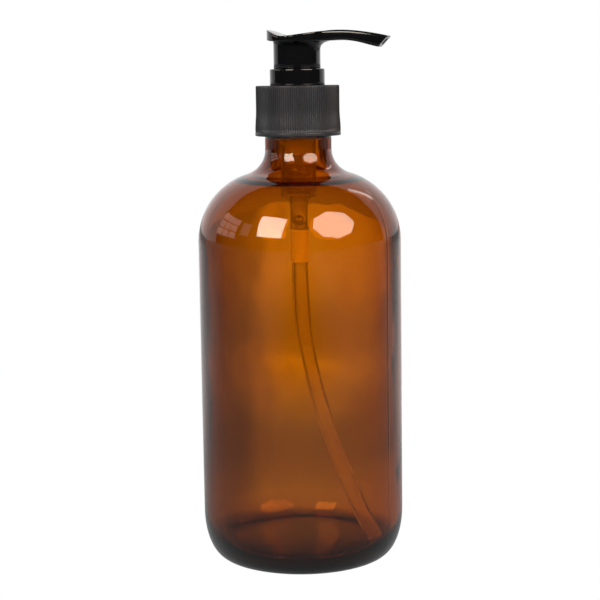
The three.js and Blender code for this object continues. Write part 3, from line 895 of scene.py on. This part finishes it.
def skirt():
    """The head's round skirt with its floor, and a web that grows into the spout."""
    top = head_bottom(0) + 0.9
    profile = [(0.0, SKIRT_CEILING), (SKIRT_BORE_R - 0.4, SKIRT_CEILING), (SKIRT_BORE_R, SKIRT_CEILING - 0.4)]
    profile += [(SKIRT_BORE_R, SKIRT_BOTTOM + 0.15), (SKIRT_BORE_R + 0.15, SKIRT_BOTTOM)]
    profile += [(SKIRT_LOW_R - 0.2, SKIRT_BOTTOM), (SKIRT_LOW_R, SKIRT_BOTTOM + 0.2)]
    profile += straight((SKIRT_LOW_R, SKIRT_BOTTOM + 0.2), (SKIRT_LOW_R, SKIRT_STEP - 0.4), 24)
    profile += [(SKIRT_LOW_R, SKIRT_STEP - 0.4), (SKIRT_R - 0.12, SKIRT_STEP - 0.1)]
    profile += [(SKIRT_R, SKIRT_STEP + 0.1)]
    profile += straight((SKIRT_R, SKIRT_STEP + 0.1), (SKIRT_R, WEB_START), 4)
    profile += straight((SKIRT_R, WEB_START), (SKIRT_R, top), 14)
    profile += [(SKIRT_R, top), (0.0, top)]

    def shape(r, z, angle):
        if abs(r - SKIRT_LOW_R) < 1e-6 and SKIRT_BOTTOM + 0.3 < z < SKIRT_STEP - 0.5:
            height = LOCK_RIB_HEIGHT
            rise = thread_rise(angle, z, LOCK_RIB_Z, LOCK_RIB_PITCH, LOCK_RIB_TURNS, height, 0.22, 0.55)
            return r + rise, z
        if abs(r - SKIRT_R) < 1e-6 and z > WEB_START:
            t = (z - WEB_START) / (head_bottom(9) - WEB_START)
            flare = 1 - math.sqrt(max(0.0, 1 - min(1.0, t) ** 2))
            forward = max(0.0, math.cos(angle))
            return r + flare * (WEB_ROUND + WEB_REACH * forward ** WEB_NARROWNESS), z
        return r, z

    return turned("skirt", profile, even(180), shape)


def tube_along(name, centres, radius, count, bore=None):
    """A round bar, or a pipe with square ends, along points in the plane y = 0."""
    rings = []
    inner = []
    for i, (x, z) in enumerate(centres):
        x0, z0 = centres[max(0, i - 1)]
        x1, z1 = centres[min(len(centres) - 1, i + 1)]
        length = math.hypot(x1 - x0, z1 - z0)
        side = (-(z1 - z0) / length, (x1 - x0) / length)
        for store, r in ((rings, radius), (inner, bore)):
            if r:
                points = []
                for k in range(count):
                    angle = TAU * k / count
                    c, s = math.cos(angle) * r, math.sin(angle) * r
                    points.append(((x + side[0] * c) * MM, s * MM, (z + side[1] * c) * MM))
                store.append(points)
    if bore:
        return skin(name, rings + inner[::-1] + [rings[0]], closed_ends=False)
    return skin(name, rings)


def pump_head(material):
    """Plate, spout and skirt in one moulding, with a boss for the stem and the soap's way bored through."""
    piece = combine(saddle_and_spout(), skirt(), "UNION")
    outline = [(0.0, BOSS_BOTTOM + 0.2), (BOSS_R - 0.25, BOSS_BOTTOM), (BOSS_R, BOSS_BOTTOM + 0.3)]
    outline += [(BOSS_R, SKIRT_CEILING + 0.5), (0.0, SKIRT_CEILING + 0.5)]
    piece = combine(piece, turned("boss", outline, even(64)), "UNION")
    outline = [(0.0, BOSS_BOTTOM - 1), (STEM_SOCKET_R + 0.4, BOSS_BOTTOM - 1)]
    outline += [(STEM_SOCKET_R, BOSS_BOTTOM + 0.6), (STEM_SOCKET_R, SOCKET_DEPTH_TOP)]
    outline += [(0.0, SOCKET_DEPTH_TOP)]
    piece = combine(piece, turned("socket", outline, even(64)), "DIFFERENCE")
    way = curve_through([(1.8, 191.0), (6, 192.3), (12, 193.1), (18, 193.3), (25, 192.5), (32.6, 190.7),
                         (38.6, 188.5)])
    rise = [(0.0, SOCKET_DEPTH_TOP - 1), (0.05, 188.6), (0.35, 189.9), (0.95, 190.6)]
    along = [1.8 + i * CHANNEL_STEP for i in range(41)]
    route = rise + [(x, way(x)) for x in along]
    piece = combine(piece, tube_along("channel", route, CHANNEL_R, 28), "DIFFERENCE")
    rounded = piece.modifiers.new("edges", "BEVEL")
    rounded.width = HEAD_ROUNDING * MM
    rounded.segments = 2
    rounded.limit_method = "ANGLE"
    rounded.angle_limit = math.radians(40)
    rounded.use_clamp_overlap = True
    apply_modifiers(piece)
    return stand_for(shade(piece), "pump_head", material)


# ---- pump inside

def housing(material):
    """Barrel, valve chamber and dip tube socket in one moulding, with a vent in the barrel's side."""
    seat_bottom = SEAT_TOP - (CHAMBER_BORE_R - SEAT_R)
    profile = [(SOCKET_BORE_R + 0.15, SOCKET_BOTTOM), (SOCKET_R - 0.1, SOCKET_BOTTOM)]
    profile += [(SOCKET_R, SOCKET_BOTTOM + 0.1)]
    profile += straight((SOCKET_R, SOCKET_BOTTOM + 0.1), (SOCKET_R, SOCKET_TOP + 0.5), 8)
    profile += [(SOCKET_R, SOCKET_TOP + 0.5), (CHAMBER_R, SOCKET_TOP + 1.1), (CHAMBER_R, CHAMBER_TOP)]
    profile += [(CHAMBER_R + 0.35, CHAMBER_TOP + 0.5), (BARREL_R - 0.3, LEDGE_Z - 0.5)]
    profile += [(BARREL_R, LEDGE_Z + 0.2)]
    profile += straight((BARREL_R, LEDGE_Z + 0.2), (BARREL_R, FLANGE_BOTTOM - 0.3), 10)
    profile += [(BARREL_R, FLANGE_BOTTOM - 0.3), (BARREL_R + 0.3, FLANGE_BOTTOM)]
    profile += [(FLANGE_R - 0.15, FLANGE_BOTTOM), (FLANGE_R, FLANGE_BOTTOM + 0.15)]
    profile += [(FLANGE_R, FLANGE_TOP - 0.15), (FLANGE_R - 0.15, FLANGE_TOP)]
    profile += [(HOUSING_NECK_R + 0.2, FLANGE_TOP), (HOUSING_NECK_R, FLANGE_TOP + 0.2)]
    profile += [(HOUSING_NECK_R, HOUSING_TOP - 0.2), (HOUSING_NECK_R - 0.2, HOUSING_TOP)]
    profile += [(BARREL_BORE_R + 0.2, HOUSING_TOP), (BARREL_BORE_R, HOUSING_TOP - 0.2)]
    profile += [(BARREL_BORE_R, LEDGE_Z), (CHAMBER_BORE_R, LEDGE_Z), (CHAMBER_BORE_R, SEAT_TOP)]
    profile += [(SEAT_R, seat_bottom), (SEAT_R, SOCKET_TOP)]
    profile += [(SOCKET_BORE_R, SOCKET_TOP), (SOCKET_BORE_R, SOCKET_BOTTOM + 0.3)]
    piece = turned("housing_moulding", profile, even(128))
    drill = turned("drill", [(0.0, 0.0), (VENT_R, 0.0), (VENT_R, BARREL_R), (0.0, BARREL_R)], even(20))
    vent = Matrix.Translation((0, BARREL_R * 1.5 * MM, VENT_Z * MM))
    drill.data.transform(vent @ Matrix.Rotation(TAU / 4, 4, "X"))
    return stand_for(combine(piece, drill, "DIFFERENCE"), "housing", material)


def inlet_ball(material):
    """The ball valve, its poles set exactly on the axis."""
    lo, hi = low("inlet_ball"), high("inlet_ball")
    middle = (lo.z + hi.z) / 2
    profile = arc(0, middle, hi.x, hi.x, -90, 90, 24)
    profile[0] = (0.0, profile[0][1])
    profile[-1] = (0.0, profile[-1][1])
    return stand_for(turned("valve_ball", profile, even(48)), "inlet_ball", material)


def piston_seat(material):
    """The spring's upper seat with four soap notches and a cross-shaped rod up the stem."""
    bottom = low("piston_seat").z
    top = high("piston_seat").z
    disc_top = bottom + SEAT_DISC_H
    disc_r = high("piston_seat").x
    profile = [(0.0, bottom), (disc_r - 0.15, bottom), (disc_r, bottom + 0.15), (disc_r, disc_top - 0.15)]
    profile += [(disc_r - 0.15, disc_top), (SEAT_FIN_R + 0.3, disc_top)]
    profile += [(SEAT_FIN_R, disc_top + 0.05), (0.0, disc_top + 0.05)]
    piece = turned("seat_disc", profile, even(96))
    cutter = [(0.0, bottom - 1), (SEAT_NOTCH_R, bottom - 1)]
    cutter += [(SEAT_NOTCH_R, disc_top + 1), (0.0, disc_top + 1)]
    for angle in even(4):
        notch = turned("notch", cutter, even(24))
        notch.data.transform(Matrix.Translation(at(disc_r, angle, 0)))
        piece = combine(piece, notch, "DIFFERENCE")
    for i in range(2):
        corners = [(SEAT_FIN_R, SEAT_FIN_HALF - 0.12), (SEAT_FIN_R - 0.12, SEAT_FIN_HALF)]
        outline = corners + [(-x, y) for x, y in corners[::-1]]
        outline += [(-x, -y) for x, y in outline]
        turn = Matrix.Rotation(TAU / 4 * i, 3, "Z")
        rings = [[tuple(turn @ (Vector((x * s, y * s, 0)) * MM) + Vector((0, 0, z * MM))) for x, y in outline]
                 for z, s in ((disc_top - 0.4 - 0.01 * i, 1), (top - 0.5, 1), (top - 0.01 * i, 0.7))]
        piece = combine(piece, skin("fin", rings), "UNION")
    return stand_for(piece, "piston_seat", material)


def piston(material):
    """A web with a sleeve for the stem, and a lip up and a lip down against the barrel."""
    lo, hi = low("piston"), high("piston")
    r = hi.x
    lip = r - PISTON_SKIRT
    profile = [(PISTON_BORE_R, PISTON_WEB_BOTTOM), (lip - 0.2, PISTON_WEB_BOTTOM), (r - 0.45, lo.z + 0.05)]
    profile += [(r - 0.25, lo.z), (r, lo.z + 0.1), (r - 0.12, lo.z + 0.5), (r - 0.28, PISTON_WEB_TOP - 0.4)]
    profile += [(r - 0.28, PISTON_WEB_TOP + 2), (r - 0.1, hi.z - 0.6), (r, hi.z - 0.1), (r - 0.25, hi.z)]
    profile += [(r - 0.45, hi.z - 0.05), (lip, PISTON_WEB_TOP + 0.3), (lip - 0.3, PISTON_WEB_TOP)]
    profile += [(PISTON_SLEEVE_R + 0.2, PISTON_WEB_TOP), (PISTON_SLEEVE_R, PISTON_WEB_TOP + 0.2)]
    profile += [(PISTON_SLEEVE_R, PISTON_SLEEVE_TOP - 0.15), (PISTON_SLEEVE_R - 0.15, PISTON_SLEEVE_TOP)]
    profile += [(PISTON_BORE_R + 0.15, PISTON_SLEEVE_TOP), (PISTON_BORE_R, PISTON_SLEEVE_TOP - 0.15)]
    return stand_for(turned("piston_ring", profile, even(112)), "piston", material)


def stem(material):
    """The tube from the piston seat up into the head."""
    lo, hi = low("stem"), high("stem")
    profile = [(STEM_BORE_R + 0.1, lo.z), (STEM_R - 0.15, lo.z), (STEM_R, lo.z + 0.15)]
    profile += straight((STEM_R, lo.z + 0.15), (STEM_R, hi.z - 0.5), 10)
    profile += [(STEM_R, hi.z - 0.5), (STEM_R - 0.25, hi.z), (STEM_BORE_R + 0.1, hi.z)]
    profile += [(STEM_BORE_R, hi.z - 0.1), (STEM_BORE_R, lo.z + 0.1)]
    return stand_for(turned("stem_tube", profile, even(72)), "stem", material)


def return_spring(material):
    """A compression spring with closed ends, as long as the CAD spring."""
    wire = SPRING_WIRE_R
    rise = SPRING_TOP - SPRING_BOTTOM - 2 * wire
    open_pitch = (rise - 2 * SPRING_CLOSED_PITCH) / (SPRING_TURNS - 2)
    steps = SPRING_STEPS * SPRING_TURNS
    rings = []
    for i in range(steps + 1):
        turn = SPRING_TURNS * i / steps
        opened = min(max(turn - 1, 0), SPRING_TURNS - 2)
        z = SPRING_BOTTOM + wire + opened * open_pitch + (turn - opened) * SPRING_CLOSED_PITCH
        angle = THREAD_START + TAU * turn
        taper = 0.55 + 0.45 * smoothstep(min(turn, SPRING_TURNS - turn), 0, 0.05)
        ring = []
        for a in even(SPRING_SIDES):
            r = SPRING_R + wire * taper * math.cos(a)
            ring.append(at(r, angle, z + wire * taper * math.sin(a)))
        rings.append(ring)
    piece = skin("spring_wire", rings)
    piece.data.materials.append(material)
    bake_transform(piece)
    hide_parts("return_spring")
    return piece


def dip_tube(material):
    """Straight under the pump, then one even bend out to the heel, cut square at the tip."""
    top = high("dip_tube").z
    centres = [(0.0, top), (0.0, top - 0.3)]
    centres += [(0.0, top - 0.3 + (TUBE_BEND_Z - top + 0.3) * i / 10) for i in range(1, 10)]
    bends = 80
    for i in range(bends + 1):
        down = i / bends
        reach = TUBE_TIP_REACH * down ** TUBE_BEND_POWER
        centres.append((reach, TUBE_BEND_Z + (TUBE_TIP_Z - TUBE_BEND_Z) * down))
    piece = tube_along("tube_pipe", centres, TUBE_R, 40, TUBE_BORE_R)
    piece.data.transform(Matrix.Rotation(TUBE_TURN, 4, "Z"))
    return stand_for(piece, "dip_tube", material)


# ---- camera, floor and light

def towards(azimuth, elevation, distance):
    """A place seen from LIGHT_CENTRE: azimuth 0 is toward the camera, positive to its right."""
    angle = CAMERA_AZIMUTH + math.radians(azimuth)
    rise = math.radians(elevation)
    flat = distance * math.cos(rise)
    return Vector((flat * math.sin(angle), -flat * math.cos(angle), distance * math.sin(rise))) + LIGHT_CENTRE


def camera():
    """A long lens at the front, a little to the right, looking slightly down."""
    data = bpy.data.cameras.new("camera")
    data.lens = LENS
    data.sensor_width = SENSOR
    data.clip_start = 0.01
    data.clip_end = 50
    obj = new_object("camera", data)
    yaw = CAMERA_AZIMUTH + CAMERA_AIM
    forward = Vector((-math.sin(yaw) * math.cos(CAMERA_PITCH), math.cos(yaw) * math.cos(CAMERA_PITCH),
                      -math.sin(CAMERA_PITCH)))
    right = Vector((math.cos(yaw), math.sin(yaw), 0))
    up = right.cross(forward)
    tilted_right = right * math.cos(CAMERA_ROLL) - up * math.sin(CAMERA_ROLL)
    tilted_up = up * math.cos(CAMERA_ROLL) + right * math.sin(CAMERA_ROLL)
    place = Vector((math.sin(CAMERA_AZIMUTH), -math.cos(CAMERA_AZIMUTH), 0)) * CAMERA_DISTANCE
    place.z = CAMERA_HEIGHT
    obj.matrix_world = Matrix((
        (tilted_right.x, tilted_up.x, -forward.x, place.x),
        (tilted_right.y, tilted_up.y, -forward.y, place.y),
        (tilted_right.z, tilted_up.z, -forward.z, place.z),
        (0, 0, 0, 1),
    ))
    bpy.context.scene.camera = obj


def panel(name, azimuth, elevation, corners, width, height, top_colour, bottom_colour, strength, turn=0.5):
    """A flat glowing panel that faces the bottle; the camera doesn't see it, only its reflections."""
    place = towards(azimuth, elevation, LIGHT_DISTANCE)
    facing = (LIGHT_CENTRE - place).to_track_quat("Z", "Y").to_matrix().to_4x4()
    grow = 1 / math.cos(TAU * turn / corners)
    points = []
    for i in range(corners):
        angle = TAU * (i + turn) / corners
        points.append((width / 2 * grow * math.cos(angle), height / 2 * grow * math.sin(angle), 0))
    mesh = bpy.data.meshes.new(name)
    mesh.from_pydata(points, [], [tuple(range(corners))])
    obj = new_object(name, mesh)
    obj.matrix_world = Matrix.Translation(place) @ facing
    obj.visible_camera = False
    material, n = new_material(name)
    height_in = n.add("ShaderNodeSeparateXYZ")
    n.feed(height_in, Vector=n.place())
    blend = n.remap(height_in.outputs["Y"], -height / 2, height / 2, 0.0, 1.0)
    emission = n.add("ShaderNodeEmission")
    n.feed(emission, Color=n.mix(blend, (*bottom_colour, 1.0), (*top_colour, 1.0)), Strength=strength)
    geometry = n.add("ShaderNodeNewGeometry")
    dark = n.feed(n.add("ShaderNodeEmission"), Strength=0.0)
    choose = n.add("ShaderNodeMixShader")
    n.tree.links.new(geometry.outputs["Backfacing"], choose.inputs[0])
    n.tree.links.new(emission.outputs[0], choose.inputs[1])
    n.tree.links.new(dark.outputs[0], choose.inputs[2])
    finish(n, choose)
    mesh.materials.append(material)


def lights():
    """Two softboxes, a nine-paned window, a second window and a narrow light behind."""
    panel("left_softbox", -35, 29.7, 4, 0.45, 0.49, (1.0, 0.80, 0.69), (1.0, 0.97, 0.78), 13.0)
    panel("right_softbox", 43.6, 31.4, 8, 0.80, 0.68, (1.0, 0.75, 0.60), (1.0, 0.78, 0.60), 10.0, turn=0.0)
    for azimuth in (-103.0, -92.5, -82.0):
        for elevation in (11.0, 19.0, 27.0):
            colours = (1.0, 0.72, 0.66), (0.9, 0.62, 0.58)
            panel("window_pane", azimuth, elevation, 4, 0.145, 0.11, *colours, 1.9)
    panel("second_window", -66, 21, 4, 0.17, 0.26, (1.0, 0.8, 0.7), (1.0, 0.75, 0.6), 0.8)
    panel("rear_streak", 132, 40, 4, 0.07, 0.32, (1.0, 0.95, 0.9), (1.0, 0.95, 0.9), 4.0)


def ramp(n, value, stops):
    """A smooth curve of brightness through (place, value) stops."""
    node = n.add("ShaderNodeValToRGB")
    first, last = stops[0][0], stops[-1][0]
    n.tree.links.new(n.remap(value, first, last, 0.0, 1.0), node.inputs[0])
    node.color_ramp.interpolation = "EASE"
    elements = node.color_ramp.elements
    while len(elements) > 1:
        elements.remove(elements[0])
    for i, (place, bright) in enumerate(stops):
        element = elements[0] if i == 0 else elements.new((place - first) / (last - first))
        element.position = (place - first) / (last - first)
        element.color = (bright, bright, bright, 1.0)
    return node.outputs[0]


def along(n, place, direction):
    """How far a place lies along a direction."""
    return n.vector("DOT_PRODUCT", place, direction).outputs["Value"]


def by_ray(n, reflected, through):
    """White to the camera; other rays meet one brightness in reflections and another through glass.

    Light that has scattered off a piece and leaves through glass meets the brighter ambient instead.
    """
    path = n.add("ShaderNodeLightPath")
    inside = path.outputs["Is Transmission Ray"]
    scattered = n.math("MULTIPLY", n.math("GREATER_THAN", path.outputs["Diffuse Depth"], 0.5), inside)
    lit = n.blend(inside, reflected, through)
    lit = n.blend(scattered, lit, STUDIO_AMBIENT)
    return n.blend(path.outputs["Is Camera Ray"], lit, 1.0)


def world():
    """A white backdrop behind the bottle, and a dark room in front and overhead for it to reflect."""
    scene_world = bpy.data.worlds.new("studio")
    bpy.context.scene.world = scene_world
    scene_world.use_nodes = True
    n = Nodes(scene_world)
    place = n.add("ShaderNodeTexCoord").outputs["Generated"]
    back = along(n, place, BACK)
    level = along(n, place, (0, 0, 1))
    rim = n.math("SUBTRACT", back, n.remap(level, 0.6, 0.87, 0.32, 0.47))
    reflected = ramp(n, rim, [(-0.5, ROOM_DARK), (-0.01, ROOM_DARK), (0.01, 0.6), (0.7, 1.0)])
    lobe = ramp(n, back, [(-1.0, ROOM_DARK), (0.2, ROOM_DARK), (0.6, 0.22), (1.0, 0.85)])
    band = n.remap(level, 0.03, 0.2, 0.4 * THROUGH_FRONT, 0.0)
    through = n.math("MAXIMUM", lobe, band)
    background = n.add("ShaderNodeBackground")
    n.feed(background, Color=(1.0, 1.0, 1.0, 1.0), Strength=by_ray(n, reflected, through))
    output = n.add("ShaderNodeOutputWorld")
    n.tree.links.new(background.outputs[0], output.inputs["Surface"])


def floor():
    """A pale sweep that shows white to the camera and, though it is no lamp, glows with painted light and
    shade for other rays: painted shade in front of the bottle, a painted shadow under it and a little way
    behind it, and a painted pool of light some way behind.
    """
    bm = bmesh.new()
    bmesh.ops.create_grid(bm, x_segments=8, y_segments=8, size=6.0)
    mesh = bpy.data.meshes.new("floor")
    bm.to_mesh(mesh)
    bm.free()
    obj = new_object("floor", mesh)
    material, n = new_material("floor")
    back = along(n, n.place(), BACK)
    side = along(n, n.place(), RIGHT)
    # Seen in reflections the sweep's brightness is painted light and shade: dimmer toward the front and the
    # sides.
    depth = ramp(n, back, [(-1.6, 0.0), (-1.0, 0.25), (0.0, 0.35), (0.3, 0.7), (1.0, 0.95)])
    spread = ramp(n, side, [(-1.2, 0.35), (0.0, 1.0), (1.2, 0.35)])
    # Painted shade: a dark strip far in front, where the camera stands, for the glass and plastic to reflect.
    clear = n.remap(n.math("ABSOLUTE", side), 0.12, 0.4, 0.05, 1.0)
    clear = n.math("MAXIMUM", clear, n.remap(back, -0.45, -0.28, 0.0, 1.0))
    reflected = n.math("MULTIPLY", n.math("MULTIPLY", depth, spread), clear)

    # Through the glass the sweep has a painted shadow a little way behind the bottle, and painted light that
    # brightens toward the backdrop.
    stops = [(-0.06, THROUGH_FRONT), (0.06, 0.75), (0.16, 0.5), (0.35, 0.95), (0.5, 0.9), (0.9, 1.45)]
    sweep = ramp(n, back, stops)
    aside = n.math("DIVIDE", side, n.math("MAXIMUM", n.math("ADD", back, CAMERA_DISTANCE), 0.2))
    # Painted shade toward the sides, seen through the glass.
    edge = ramp(n, aside, [(-0.35, 0.1), (-0.06, 0.5), (-0.02, 1.0), (0.06, 1.0), (0.2, 0.8), (0.35, 0.1)])
    edge = n.math("MAXIMUM", edge, n.remap(back, -0.12, -0.05, 1.0, 0.0))
    # A painted pool of light some way behind the bottle.
    pool = n.vector("DISTANCE", n.place(), BACK * POOL_BACK)
    painted_pool = ramp(n, pool.outputs["Value"], [(0.0, 0.5), (0.06, 0.1), (0.1, 0.0)])
    # A painted shadow under the bottle.
    away = n.vector("LENGTH", n.place())
    shadow = n.remap(away.outputs["Value"], 0.037, 0.056, 0.05, 1.0)
    through = n.math("MULTIPLY", n.math("ADD", n.math("MULTIPLY", sweep, edge), painted_pool), shadow)
    emission = n.add("ShaderNodeEmission")
    n.feed(emission, Color=(1.0, 1.0, 1.0, 1.0), Strength=by_ray(n, reflected, through))
    finish(n, emission)
    mesh.materials.append(material)


# ---- the object

camera()
bottle(amber_glass())
closure(satin_black())
black = gloss_black()
lock_collar(black)
pump_head(black)
neck_gasket(soft_white("white_foam", (0.86, 0.85, 0.82), 1400.0, 0.00008))
stem_wiper(soft_white("natural_rubber", (0.62, 0.60, 0.55), 3000.0, 0.00002))
natural = natural_plastic("natural_plastic", (0.97, 0.96, 0.93), 0.22, 0.86, 0.3, 1.16, 0.1)
housing(natural)
piston_seat(natural)
piston(natural_plastic("piston_plastic", (0.93, 0.93, 0.91), 0.4, 0.15))
stem(natural_plastic("stem_plastic", (0.74, 0.73, 0.69), 0.3, 0.15))
dip_tube(natural_plastic("clear_tube", (0.97, 0.96, 0.94), 0.16, 0.91, 0.2, 1.09))
inlet_ball(steel("ball_steel", (0.62, 0.63, 0.65), 0.14, (1, 1, 1)))
return_spring(steel("spring_steel", (0.60, 0.61, 0.63), 0.24, (1, 1, 0.1)))

floor()
world()
lights()
bpy.context.scene.view_settings.view_transform = "Standard"
